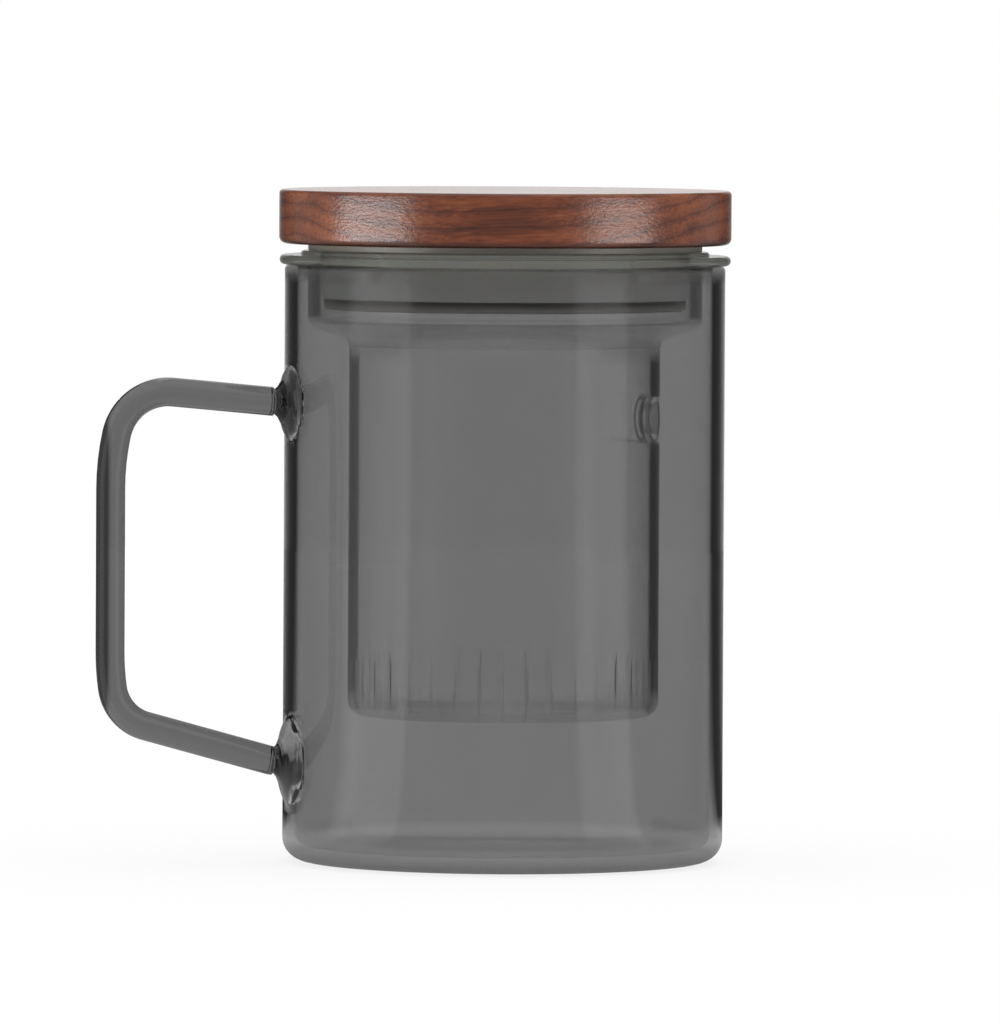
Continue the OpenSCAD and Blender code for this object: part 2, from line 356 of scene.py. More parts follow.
def rod_rings(line):
    """Round rings square to the rod's middle line."""
    rings = []
    for i, p in enumerate(line):
        along = (line[min(i + 1, len(line) - 1)] - line[max(i - 1, 0)]).normalized()
        across = Vector((-along.y, along.x))
        ring = []
        for c, s in circle(ROD_SIDES):
            side = across * ROD_R * c
            ring.append((p.x + side.x, ROD_R * s, p.y + side.y))
        rings.append(ring)
    return rings


def run_on(line_end, before):
    """The arm's middle line, run on from its end to where the rod's rounded end begins."""
    heading = (line_end - before).normalized()
    return line_end + heading * (WELD_L - ROD_END_T) / heading.x


# %% [markdown]
# ## The flared welds
# The glass blower melts each arm's end onto the mug. The rod keeps a rounded end, a neck is left
# behind it, and from there the glass flows out into a bell. A cone would do from afar, but glass
# shows every bend, so the profile lists the distance off the wall and the radius there, both in
# millimetres. The last rings lean on the wall's curve and go under it, for the Boolean to join.

# %% Rings of a weld
WELD_PROFILE = [
    (3.45, 2.80), (3.32, 2.68), (3.2, 2.5), (3.05, 2.48), (2.85, 2.56), (2.6, 2.74), (2.35, 2.98),
    (2.1, 3.3), (1.9, 3.62), (1.68, 4.0), (1.42, 4.5), (1.22, 5.0), (1.03, 5.5), (0.84, 6.0),
    (0.64, 6.45), (0.44, 6.85), (0.25, 7.15), (0.1, 7.38), (0.0, 7.52), (-0.1, 7.7), (-0.4, 8.2)]
WELD_STEP = 0.07 * MM
ROD_END_T = WELD_PROFILE[0][0] * MM
LEAN_T = 1.6 * MM
NECK_R = 0.9 * ROD_R
NECK_T = 3.1 * MM
RING_MARKS = 0.03 * MM
RING_PITCH = 0.8 * MM
RING_LOW_T = 0.5 * MM
RING_HIGH_T = 3.0 * MM


def flare_ring(centre_z, radius, off, flip):
    """A ring round a weld, off the mug's side by a distance, and the more like it the nearer. The
    flip is -1 where the rod's own rings start at their lowest point, and 1 at their highest."""
    lean = max(0, min(1, 1 - off / LEAN_T))
    ring = []
    for c, s in circle(ROD_SIDES):
        y = radius * s
        side = lean * math.sqrt(MUG_R ** 2 - y ** 2) + (1 - lean) * MUG_R
        ring.append((-side - off, y, centre_z + flip * radius * c))
    return ring


def flare(end, wall_z, spread, flip):
    """Rings from the rod's end to just under the mug's surface: a rounded rod end, a neck, and a
    bell that thins out on the wall. Hot tools leave fine rings in it."""
    rings = []
    for (t, radius), (next_t, next_radius) in zip(WELD_PROFILE, WELD_PROFILE[1:] + WELD_PROFILE[-1:]):
        count = max(1, round((t - next_t) * MM / WELD_STEP))
        for k in range(count):
            off = (t + (next_t - t) * k / count) * MM
            wide = (radius + (next_radius - radius) * k / count) * MM
            if off < NECK_T:
                wide = NECK_R + (wide - NECK_R) * spread
            if RING_LOW_T < off < RING_HIGH_T:
                wide += RING_MARKS * math.sin(2 * math.pi * off / RING_PITCH)
            share = max(0, min(1, off / ROD_END_T))
            rings.append(flare_ring(wall_z + (end - wall_z) * share, wide, off, flip))
    return rings


print("a weld has", len(flare(0, 0, 1.0, 1)), "rings")

# %% [markdown]
# The rings of the upper weld, the rod and the lower weld make one long tube, closed at both ends
# inside the mug's wall. Joining it to the mug in one Boolean gives one skin, as on fused glass.
# The lower weld is the larger one: more glass ran down there.

# %% The handle, fused to the mug
LOWER_SPREAD = 1.25
LOWER_RISE = 0.7 * MM
UNDER_SKIN = 1.2 * MM


def face_outwards(thing):
    """Turns all the faces of a closed mesh the same way, with their front outside."""
    shell = bmesh.new()
    shell.from_mesh(thing.data)
    bmesh.ops.recalc_face_normals(shell, faces=shell.faces)
    shell.to_mesh(thing.data)
    shell.free()


upper_end = run_on(rod_line[0], rod_line[1])
lower_end = run_on(rod_line[-1], rod_line[-2])
round_rings = rod_rings([upper_end] + rod_line + [lower_end])
upper_flare = flare(upper_end.y, UPPER_ARM_Z, 1, -1)
lower_flare = flare(lower_end.y, LOWER_ARM_Z + LOWER_RISE, LOWER_SPREAD, 1)
handle = piece("handle_glass", *skin([
    [(UNDER_SKIN - MUG_R, 0, UPPER_ARM_Z)],
    *reversed(upper_flare),
    *round_rings[1:-1],
    *lower_flare,
    [(UNDER_SKIN - MUG_R, 0, LOWER_ARM_Z)]]))
face_outwards(handle)
combine(mug, handle, "UNION")
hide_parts("mug_body", "handle_rod", "upper_handle_weld", "lower_handle_weld")

# %% [markdown]
# ## The infuser
# One blown piece: a lip and a flange on top, a collar that hangs in the mug, a sloping shoulder
# and a narrow tube with a flat floor. It could be built of separate tubes and a disc, but then
# light would show the seams. So one outline is turned, with the inner wall parallel to the outer.

# %% Infuser wall
COLLAR_R = MUG_BORE_R - 2 * MM
COLLAR_WALL = 2.2 * MM
COLLAR_BORE_R = COLLAR_R - COLLAR_WALL
COLLAR_Z = MUG_H - 11.75 * MM
COLLAR_EDGE_R = 2 * MM
SHOULDER_SLOPE = math.radians(18)
SHOULDER_R = 3 * MM
TUBE_R = 30 * MM
TUBE_WALL = 1.8 * MM
TUBE_BORE_R = TUBE_R - TUBE_WALL
FLOOR_T = 1.5 * MM
FLOOR_Z = INFUSER_Z + FLOOR_T
TUBE_EDGE_R = 2.8 * MM
INNER_EDGE_R = 0.8 * MM
FLANGE_Z = MUG_H + 1.9 * MM
FLANGE_EDGE_R = 0.9 * MM
FLANGE_FILLET_R = 1.2 * MM
LIP_R = COLLAR_R + 1.4 * MM
LIP_EDGE_R = 0.6 * MM
LIP_FOOT_R = 0.25 * MM

slope = math.tan(SHOULDER_SLOPE)
inner_collar_z = COLLAR_Z - COLLAR_WALL * slope + TUBE_WALL / math.cos(SHOULDER_SLOPE)
infuser = turned_piece("infuser_glass", [
    (0, INFUSER_Z, 0),
    (TUBE_R, INFUSER_Z, TUBE_EDGE_R),
    (TUBE_R, COLLAR_Z - (COLLAR_R - TUBE_R) * slope, SHOULDER_R),
    (COLLAR_R, COLLAR_Z, COLLAR_EDGE_R),
    (COLLAR_R, MUG_H, FLANGE_FILLET_R),
    (FLANGE_R, MUG_H, FLANGE_EDGE_R),
    (FLANGE_R, FLANGE_Z, FLANGE_EDGE_R),
    (LIP_R, FLANGE_Z, LIP_FOOT_R),
    (LIP_R, LIP_Z, LIP_EDGE_R),
    (COLLAR_BORE_R, LIP_Z, LIP_EDGE_R),
    (COLLAR_BORE_R, inner_collar_z, INNER_EDGE_R),
    (TUBE_BORE_R, inner_collar_z - (COLLAR_BORE_R - TUBE_BORE_R) * slope, SHOULDER_R + TUBE_WALL),
    (TUBE_BORE_R, FLOOR_Z, INNER_EDGE_R),
    (0, FLOOR_Z, 0)])

# %% [markdown]
# ## The hole and its bead
# High in the tube's wall is one round hole, whose edge is melted to a thick bead. Bevelling the
# edge of a cut would leave a bead of uneven width, because the wall is curved. So a plain plug is
# cut out first, and a ring of the bead's own section, bent to the tube's curve, is melted in.

# %% Hole and bead
HOLE_Z = MUG_H - 29.7 * MM
HOLE_R = 2.9 * MM
CUT_R = HOLE_R + 0.8 * MM
CUT_SPARE = 2 * MM
BEAD_OUT_R = 4.6 * MM
BEAD_RISE = 0.4 * MM
BEAD_SUNK = 0.25 * MM
BEAD_LOW = BEAD_SUNK - TUBE_WALL
BEAD_HOLE_EDGE_R = (BEAD_RISE - BEAD_LOW) / 2 * 0.62
BEAD_OUT_EDGE_R = 0.7 * MM
BEAD_SIDES = 64
BEAD_STRETCH = 0.6 * MM


def onto_tube(thing):
    """Stands a piece that was turned round Z on the tube's side, bent to the tube's curve."""
    for v in thing.data.vertices:
        y, z, out = v.co.x, v.co.y, v.co.z
        v.co = (out + math.sqrt(TUBE_R ** 2 - y ** 2), y, HOLE_Z + z)


hole_cut = turned_piece("hole_cut", [
    (0, BEAD_LOW - CUT_SPARE, 0),
    (CUT_R, BEAD_LOW - CUT_SPARE, 0),
    (CUT_R, BEAD_RISE + CUT_SPARE, 0),
    (0, BEAD_RISE + CUT_SPARE, 0)], BEAD_SIDES)
onto_tube(hole_cut)
combine(infuser, hole_cut, "DIFFERENCE")
bead = turned_piece("bead", [
    (HOLE_R, BEAD_LOW, BEAD_HOLE_EDGE_R),
    (BEAD_OUT_R, BEAD_LOW, BEAD_OUT_EDGE_R),
    (BEAD_OUT_R, BEAD_RISE, BEAD_OUT_EDGE_R),
    (HOLE_R, BEAD_RISE, BEAD_HOLE_EDGE_R)], BEAD_SIDES, BEAD_STRETCH)
onto_tube(bead)
combine(infuser, bead, "UNION")

# %% [markdown]
# ## The saw cuts
# A thin wheel saws the slits that strain the tea, up through the floor's edge and the wall. They
# could be painted on, but a slit is a real gap that holds its shape from every side. All the
# blades are one mesh, so that one Boolean cuts them all. Each is a little wider outside, as the
# wheel wobbles. The faces that it leaves are found by where they are and which way they look.

# %% Saw cuts
SLIT_COUNT = 40
SLIT_W = 0.28 * MM
SLIT_TIP_W = 0.16 * MM
SLIT_H = 9.5 * MM
SLIT_IN = 0.5 * MM
SLIT_SPARE = 1 * MM
SLIT_START = math.radians(4)
SAWN_SPARE = 0.1 * MM
SAWN_TILT = 0.3


def slit_blades():
    """One mesh with a thin upright blade for each slit, a little wider at the tube's outside."""
    low_r, high_r = TUBE_BORE_R - SLIT_IN, TUBE_R + SLIT_SPARE
    taper = (SLIT_W - SLIT_TIP_W) / (TUBE_R - low_r)
    half = {low_r: SLIT_TIP_W / 2, high_r: (SLIT_TIP_W + taper * (high_r - low_r)) / 2}
    low_z, high_z = INFUSER_Z - SLIT_SPARE, FLOOR_Z + SLIT_H
    sides = [(3, 2, 1, 0), (4, 5, 6, 7), (0, 1, 5, 4), (1, 2, 6, 5), (2, 3, 7, 6), (3, 0, 4, 7)]
    vertices, faces = [], []
    for k in range(SLIT_COUNT):
        turn = Matrix.Rotation(SLIT_START + 2 * math.pi * k / SLIT_COUNT, 3, "Z")
        first = len(vertices)
        for z in (low_z, high_z):
            for r, side in ((low_r, -1), (high_r, -1), (high_r, 1), (low_r, 1)):
                vertices.append(turn @ Vector((r, side * half[r], z)))
        faces += [[first + v for v in side] for side in sides]
    return piece("blades", vertices, faces)


def is_sawn(face):
    """Whether a face is a side of a saw cut: it stands upright and looks along the wall."""
    out = Vector((face.center.x, face.center.y, 0)).normalized()
    within = TUBE_BORE_R - SLIT_IN < face.center.xy.length < TUBE_R
    low = face.center.z < FLOOR_Z + SLIT_H + SAWN_SPARE
    upright = abs(face.normal.z) < SAWN_TILT
    return low and within and upright and abs(face.normal.dot(out)) < SAWN_TILT


combine(infuser, slit_blades(), "DIFFERENCE")
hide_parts("infuser")
sawn = [face.index for face in infuser.data.polygons if is_sawn(face)]
print(len(sawn), "faces of the infuser are sawn")

# %% [markdown]
# ## The lid and its seal
# The disc is turned hardwood with eased edges. Its plug is glued under it, and the silicone seal
# sits in the plug's groove, with a soft flange that the disc presses on the infuser's lip. Each
# is a piece of its own, because each has its own material and they can come apart.

# %% Lid disc, plug and seal
LID_EDGE_R = 0.8 * MM
LID_LOW_EDGE_R = 1.3 * MM
PLUG_EDGE_R = 0.8 * MM
PLUG_TOP_EDGE_R = 0.2 * MM
GROOVE_R = PLUG_R - 1.9 * MM
GROOVE_EDGE_R = 0.1 * MM
SEAL_R = COLLAR_BORE_R - 0.2 * MM
SEAL_INNER_R = GROOVE_R + 0.05 * MM
SEAL_EDGE_R = 0.6 * MM
SEAL_FINE_R = 0.15 * MM
SEAL_FLANGE_EDGE_R = 0.3 * MM
SEAL_TOP_EDGE_R = 0.2 * MM

disc = turned_piece("lid_disc_wood", [
    (0, LID_Z, 0),
    (LID_R, LID_Z, LID_LOW_EDGE_R),
    (LID_R, LID_TOP_Z, LID_EDGE_R),
    (0, LID_TOP_Z, 0)])
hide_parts("lid_disc")
plug = turned_piece("lid_plug_wood", [
    (0, PLUG_Z, 0),
    (PLUG_R, PLUG_Z, PLUG_EDGE_R),
    (PLUG_R, SEAL_Z, PLUG_TOP_EDGE_R),
    (GROOVE_R, SEAL_Z, GROOVE_EDGE_R),
    (GROOVE_R, LID_Z, 0),
    (0, LID_Z, 0)])
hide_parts("lid_plug")
seal = turned_piece("seal_silicone", [
    (SEAL_INNER_R, SEAL_Z, SEAL_FINE_R),
    (SEAL_R, SEAL_Z, SEAL_EDGE_R),
    (SEAL_R, LIP_Z, SEAL_FINE_R),
    (SEAL_FLANGE_R, LIP_Z, SEAL_FLANGE_EDGE_R),
    (SEAL_FLANGE_R, LID_Z, SEAL_TOP_EDGE_R),
    (SEAL_INNER_R, LID_Z, 0)])
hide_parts("seal_ring")

# %% [markdown]
# ## Node helpers
# Materials are trees of nodes. They could be wired by hand in the editor, but written out here
# they can be read and repeated. These helpers add a node with its values and do sums with
# sockets, so that each material below is a list of steps.

# %% Nodes and sums
def add(tree, kind, values=None, **settings):
    """A shader node of a kind with its settings. Each value goes to the input of that name or
    number, as a link if it is another node's socket."""
    node = tree.nodes.new("ShaderNode" + kind)
    for name, value in settings.items():
        setattr(node, name, value)
    for name, value in (values or {}).items():
        if isinstance(value, bpy.types.NodeSocket):
            tree.links.new(value, node.inputs[name])
        else:
            node.inputs[name].default_value = value
    return node


def join(tree, operation, *values):
    """What a math node makes of sockets or numbers."""
    return add(tree, "Math", dict(enumerate(values)), operation=operation).outputs[0]


def measured(tree, operation, *vectors):
    """The number that a vector math node makes of vectors, such as a length."""
    node = add(tree, "VectorMath", dict(enumerate(vectors)), operation=operation)
    return node.outputs["Value"]


def product(tree, first, *others):
    """Masks and numbers multiplied. It is 0 where any of them is 0."""
    for other in others:
        first = join(tree, "MULTIPLY", first, other)
    return first


def total(tree, first, *others):
    """The sum of (mask, weight) pairs."""
    whole = join(tree, "MULTIPLY", *first)
    for one, weight in others:
        whole = join(tree, "MULTIPLY_ADD", one, weight, whole)
    return whole


# %% [markdown]
# Two values are mixed by a factor, and a mask is such a factor: a number from 0 to 1 that changes
# over the surface. Each mask here has a slope between its ends, since a hard step would flicker.

# %% Mixing and masks
def blend(tree, factor, a, b):
    """Goes from a to b as the factor goes from 0 to 1."""
    node = add(tree, "Mix", {"Factor": factor, "A": a, "B": b}, data_type="FLOAT")
    return node.outputs[0]


def mixed(tree, factor, a, b):
    """A colour that goes from a to b, each a socket or red, green and blue."""
    a, b = (end if isinstance(end, bpy.types.NodeSocket) else (*end, 1) for end in (a, b))
    node = add(tree, "Mix", {"Factor": factor, "A": a, "B": b}, data_type="RGBA")
    return node.outputs["Result"]


def mask(tree, value, start, end):
    """0 where the value is at its start, 1 where it is at its end, with a slope between."""
    node = add(tree, "MapRange", {"Value": value, "From Min": start, "From Max": end})
    return node.outputs[0]


def ramp(tree, factor, stops):
    """Brightness that follows a factor through stops of (factor, brightness)."""
    node = add(tree, "ValToRGB", {"Fac": factor})
    elements = node.color_ramp.elements
    for element, (place, value) in zip(elements, (stops[0], stops[-1])):
        element.position = place
        element.color = (value, value, value, 1)
    for place, value in stops[1:-1]:
        elements.new(place).color = (value, value, value, 1)
    return node.outputs["Color"]


def shader_mix(tree, share, first, second):
    """A shader that goes from the first to the second as the share goes from 0 to 1."""
    return add(tree, "MixShader", {0: share, 1: first.outputs[0], 2: second.outputs[0]})


# %% [markdown]
# Object coordinates are metres from the mug's origin and move with their piece, so what they
# paint stays put when a piece is lifted. An image would need a flat map of the surface.

# %% Places on the surface
def place_on(tree):
    """A point's place, which moves with its piece."""
    return add(tree, "TexCoord").outputs["Object"]


def position(tree):
    """A point's X, Y and Z, by name."""
    return add(tree, "SeparateXYZ", {"Vector": place_on(tree)}).outputs


def whereabouts(tree):
    """A point's distance from the mug's axis, and its height."""
    parts = position(tree)
    flat = add(tree, "CombineXYZ", {"X": parts["X"], "Y": parts["Y"]})
    return measured(tree, "LENGTH", flat.outputs[0]), parts["Z"]


def closeness(tree, centre, near, far):
    """1 within a distance of a point in space, 0 beyond a greater one."""
    return mask(tree, measured(tree, "DISTANCE", place_on(tree), centre), far, near)


def stretched(tree, place, scale):
    """A place with its own scale on X, Y and Z, for noise that is longer one way."""
    return add(tree, "Mapping", {"Vector": place, "Scale": scale}).outputs[0]


def noise(tree, place, scale, detail, roughness=0.5):
    """Smooth noise over a place, as a number around a half."""
    node = add(tree, "TexNoise", {
        "Vector": place, "Scale": scale, "Detail": detail, "Roughness": roughness})
    return node.outputs["Fac"]


# %% [markdown]
# ## Groups and materials
# An effect that more than one material uses is built once as a node group with named sockets,
# and each material places it with its own values. The shaders stay in the materials themselves.

# %% Empty groups and materials
def new_group(name, inputs, outputs):
    """An empty node group, with its named sockets to start from and to end in."""
    group = bpy.data.node_groups.new(name, "ShaderNodeTree")
    for in_out, sockets in (("INPUT", inputs), ("OUTPUT", outputs)):
        for socket, kind in sockets.items():
            group.interface.new_socket(socket, in_out=in_out, socket_type="NodeSocket" + kind)
    source = group.nodes.new("NodeGroupInput")
    result = group.nodes.new("NodeGroupOutput")
    print(f"group {name}: {', '.join(inputs)} -> {', '.join(outputs)}")
    return group, source.outputs, result.inputs


def material(name):
    """An empty material and its tree."""
    made = bpy.data.materials.new(name)
    made.use_nodes = True
    made.node_tree.nodes.clear()
    return made, made.node_tree


def show(tree, shader, kind="OutputMaterial"):
    """Makes a shader the one that the tree shows."""
    add(tree, kind, {"Surface": shader.outputs[0]})


def dress(thing, made, body):
    """Gives a piece its material in one slot, and its body."""
    thing.data.materials.clear()
    thing.data.materials.append(made)
    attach(thing, body)
    print(f"{thing.name}: {made.name}, {len(made.node_tree.nodes)} nodes, rides on {body}")


# %% [markdown]
# ## Drawn glass
# Glass tube is drawn out while it is soft, which leaves very faint waves along it. They are too
# fine to model, so this group gives their height from noise that is stretched along Z.

# %% Glass ripple group
def drawn_ripple_group():
    group, source, result = new_group(
        "drawn ripple", {"Waves per Metre": "Float", "Stretch": "Float"}, {"Height": "Float"})
    squeeze = add(group, "CombineXYZ", {"X": 1.0, "Y": 1.0, "Z": source["Stretch"]})
    ends = {0: place_on(group), 1: squeeze.outputs[0]}
    along = add(group, "VectorMath", ends, operation="MULTIPLY")
    waves = noise(group, along.outputs[0], source["Waves per Metre"], 4.0, 0.55)
    group.links.new(waves, result["Height"])
    return group


drawn_ripple = drawn_ripple_group()

# %% [markdown]
# The colour of glass could be a volume that darkens with depth, but thin walls and a thick rod
# then can't both have the right tone. So it is set where light goes through a surface: Base Color
# on a shader with full transmission tints what passes, by its square root at each surface. Where
# an edge is melted soft, it hardly bends the light. A share of a plain see-through shader, mixed
# in by place, softens it there, and gets the same root for its colour.

# %% The glass shader
GLASS_IOR = 1.47
WAVES_PER_METRE = 60
WAVE_STRETCH = 0.02
WAVE_H = 0.012 * MM


def grey(value):
    """Red, green and blue of a neutral tone."""
    return (value, value, value)


def glass_shader(tree, tint, soft):
    """A smooth glass surface with its drawn waves, and with the share that goes straight on."""
    waves = {"Waves per Metre": WAVES_PER_METRE, "Stretch": WAVE_STRETCH}
    ripple = add(tree, "Group", waves, node_tree=drawn_ripple)
    wave = add(tree, "Bump", {
        "Strength": 1.0, "Distance": WAVE_H, "Height": ripple.outputs["Height"]})
    glass = add(tree, "BsdfPrincipled", {
        "Base Color": tint,
        "Roughness": 0.0,
        "IOR": GLASS_IOR,
        "Transmission Weight": 1.0,
        "Normal": wave.outputs[0]})
    root = add(tree, "Gamma", {"Color": tint, "Gamma": 0.5})
    straight = add(tree, "BsdfTransparent", {"Color": root.outputs[0]})
    return shader_mix(tree, soft, glass, straight)


# %% [markdown]
# ## The mug's smoke-grey glass
# The solid rod takes more light away than the thin wall does. On the grip's outer side, towards
# the front, a dark stripe is painted into the tint: painted shade that stands in for the mug's
# dark glass seen bent through the rod. At the foot light goes through the outside and the
# underside, or the wall, the mug's floor and the underside, and comes out with the same tone.
# Separate materials would show a seam, so one material is mixed by place.

# %% Smoke-grey glass
WALL_TINT = 0.414
ROD_TINT = 0.13
PAINTED_STREAK_TINT = 0.006
FOOT_TINT = 0.16
MUG_FLOOR_TINT = 0.86
RING_SHADE_TINT = 0.03
RING_SHADE_SHARE = 0.85
RING_WAVES_PER_METRE = 500
RING_BEND = 0.9 * MM
FOOT_SOFTNESS = 0.88
RIM_SOFTNESS = 0.6


def inner_foot(tree, out, height):
    """1 on the mug's inside near its floor."""
    return product(
        tree,
        mask(tree, out, MUG_BORE_R + 0.4 * MM, MUG_BORE_R + 0.2 * MM),
        mask(tree, height, 2 * MM, 2.2 * MM),
        mask(tree, height, 2 * BASE_EDGE_R, 2 * BASE_EDGE_R - 0.1 * MM))


def weld_ring_shade(tree, out):
    """1 on the welds' tool rings, painted dark as painted shade for light bent at their ridges. Noise
    bends them a little.
    """
    bends = noise(tree, place_on(tree), RING_WAVES_PER_METRE, 2.0)
    bent = join(tree, "MULTIPLY_ADD", bends, RING_BEND, out)
    ring = join(tree, "SINE", join(tree, "MULTIPLY", bent, 2 * math.pi / RING_PITCH))
    return product(
        tree,
        mask(tree, ring, 0.45, 1.0),
        mask(tree, out, MUG_R + 1.2 * MM, MUG_R + 1.6 * MM),
        mask(tree, out, MUG_R + WELD_L, MUG_R + WELD_L - 0.4 * MM))


def smoke_glass_material():
    made, tree = material("smoke_glass")
    out, height = whereabouts(tree)
    parts = position(tree)
    in_rod = mask(tree, out, MUG_R + 1.4 * MM, MUG_R + 3 * MM)
    # Painted shade: a dark stripe on the grip's outer front side, for the mug's dark glass seen bent
    # through the rod.
    painted_refraction_streak = product(
        tree,
        mask(tree, parts["X"], -GRIP_X - 0.3 * MM, -GRIP_X - 1.1 * MM),
        mask(tree, parts["Y"], -0.1 * MM, -0.8 * MM))
    at_base = mask(tree, height, BASE_EDGE_R, 1 * MM)
    on_floor = mask(tree, height, BASE_T + FLOOR_EDGE_R, BASE_T)
    floor_tint = mixed(tree, on_floor, grey(WALL_TINT), grey(MUG_FLOOR_TINT))
    # Painted shade: dark lines on the weld rings, standing in for light bent at the real tool rings'
    # ridges.
    rings = product(tree, weld_ring_shade(tree, out), RING_SHADE_SHARE)
    tint = mixed(tree, in_rod, grey(WALL_TINT), grey(ROD_TINT))
    tint = mixed(tree, painted_refraction_streak, tint, grey(PAINTED_STREAK_TINT))
    tint = mixed(tree, at_base, tint, grey(FOOT_TINT))
    tint = mixed(tree, inner_foot(tree, out, height), tint, floor_tint)
    tint = mixed(tree, rings, tint, grey(RING_SHADE_TINT))
    at_foot = mask(tree, height, 7 * MM, 3.5 * MM)
    at_rim = mask(tree, height, MUG_H - 3.5 * MM, MUG_H - 0.5 * MM)
    soft = total(tree, (at_foot, FOOT_SOFTNESS), (at_rim, RIM_SOFTNESS))
    show(tree, glass_shader(tree, tint, soft))
    return made


dress(mug, smoke_glass_material(), "mug")

# %% [markdown]
# ## The infuser's clear glass
# The tube is nearly colourless. The flange is thick along the line of sight, so it shows its
# grey-green. The bead round the hole gets two painted dark lines: painted shade where its edges
# bend the light away.
# The see-through share covers a band of the wall round the bead, through both of its surfaces:
# at only one of them the light would be caught in the wall, and look black.

# %% Clear glass
CLEAR_TINT = (0.985, 0.992, 0.985)
FLANGE_TINT = (0.29, 0.295, 0.27)
EYELET_SHADE_TINT = 0.03
INNER_SHADE_SHARE = 0.75
EYELET_SOFTNESS = 0.9
SHOULDER_SOFTNESS = 0.8
FLANGE_SOFTNESS = 0.45
CORNER_SOFTNESS = 0.55


def eyelet_shade_lines(tree):
    """1 on two painted shade lines of the bead, one along the hole and one along its outside."""
    middle = (TUBE_R, 0, HOLE_Z)
    inner = closeness(tree, middle, HOLE_R + 0.3 * MM, HOLE_R + 0.6 * MM)
    outer = join(
        tree, "SUBTRACT",
        closeness(tree, middle, BEAD_OUT_R, BEAD_OUT_R + 0.4 * MM),
        closeness(tree, middle, BEAD_OUT_R - 0.7 * MM, BEAD_OUT_R - 0.3 * MM))
    return join(tree, "MAXIMUM", product(tree, inner, INNER_SHADE_SHARE), outer)


def clear_glass_material():
    made, tree = material("clear_glass")
    out, height = whereabouts(tree)
    off_hole = join(tree, "ABSOLUTE", join(tree, "SUBTRACT", height, HOLE_Z))
    by_eyelet = product(
        tree,
        mask(tree, position(tree)["X"], 23 * MM, 24.2 * MM),
        mask(tree, off_hole, BEAD_OUT_R + 0.3 * MM, BEAD_OUT_R - 0.3 * MM))
    at_shoulder = product(
        tree,
        mask(tree, height, COLLAR_Z - 7 * MM, COLLAR_Z - 3 * MM),
        mask(tree, height, COLLAR_Z + 2.2 * MM, COLLAR_Z + 0.6 * MM))
    at_flange = mask(tree, height, MUG_H - 0.3 * MM, MUG_H + 0.1 * MM)
    at_corner = mask(tree, height, FLOOR_Z + 4 * MM, FLOOR_Z + 1 * MM)
    flange_edge = product(tree, at_flange, mask(tree, out, COLLAR_BORE_R + 1 * MM, COLLAR_R))
    tint = mixed(tree, flange_edge, CLEAR_TINT, FLANGE_TINT)
    # Painted shade: two dark lines on the bead, where its edges bend the light away.
    tint = mixed(tree, eyelet_shade_lines(tree), tint, grey(EYELET_SHADE_TINT))
    soft = total(
        tree, (at_shoulder, SHOULDER_SOFTNESS), (by_eyelet, EYELET_SOFTNESS),
        (at_flange, FLANGE_SOFTNESS), (at_corner, CORNER_SOFTNESS))
    show(tree, glass_shader(tree, tint, soft))
    return made


dress(infuser, clear_glass_material(), "infuser_cup")

# %% [markdown]
# ## Sawn glass
# A saw leaves ground faces. Frosted glass throughout would turn every slit into a white bar, but
# on the real infuser only the slits seen edge on show. So light goes on through a sawn face,
# apart from a faint frosting that grows as one looks along it, by the Layer Weight node.

# %% Sawn glass
FROST_COLOUR = (0.6, 0.62, 0.6, 1)
FROST_SHARE = 0.02
FROST_EDGE_ON = 0.6


def sawn_glass_material():
    made, tree = material("sawn_glass")
    through = add(tree, "BsdfTransparent")
    frost = add(tree, "BsdfPrincipled", {
        "Base Color": FROST_COLOUR, "Roughness": 0.4, "Transmission Weight": 0.5})
    aslant = add(tree, "LayerWeight", {"Blend": 0.5})
    edge_on = mask(tree, aslant.outputs["Facing"], 0.75, 0.98)
    share = join(tree, "MULTIPLY_ADD", edge_on, FROST_EDGE_ON, FROST_SHARE)
    show(tree, shader_mix(tree, share, through, frost))
    return made


infuser.data.materials.append(sawn_glass_material())
for index in sawn:
    infuser.data.polygons[index].material_index = 1
print("materials of the infuser:", [made.name for made in infuser.data.materials])

# %% [markdown]
# ## Wood under lacquer
# The lid is cut from a board whose grain runs across the picture. Wood is a stack of yearly
# layers round a pith, so the group measures the distance from a pith line far below the board,
# bends it with slow noise, and bands it. Fine fibres and short dark pores are noise stretched
# along the grain. Because it all comes from the place in space, the disc's ends show end grain
# by themselves. The disc and the plug use the group with their own colours.

# %% Wood grain group
BOARD_TURN = (math.radians(4), math.radians(1.5), -CAMERA_TURN)
BOARD_SHIFT = (0.02, 0.015, -0.055)
LAYER_BEND = 9 * MM
BEND_SCALE = (12, 45, 45)
FIBRE_SCALE = (110, 1700, 1700)
STAIN_SCALE = (24, 90, 90)
PORE_SCALE = (240, 2600, 2600)
YEAR = [(0.0, 0.45), (0.5, 0.62), (0.8, 0.42), (0.93, 0.22), (1.0, 0.5)]
FIBRE_SHARE = 0.8
STAIN_SHARE = 1.5
PORE_SHARE = 0.35


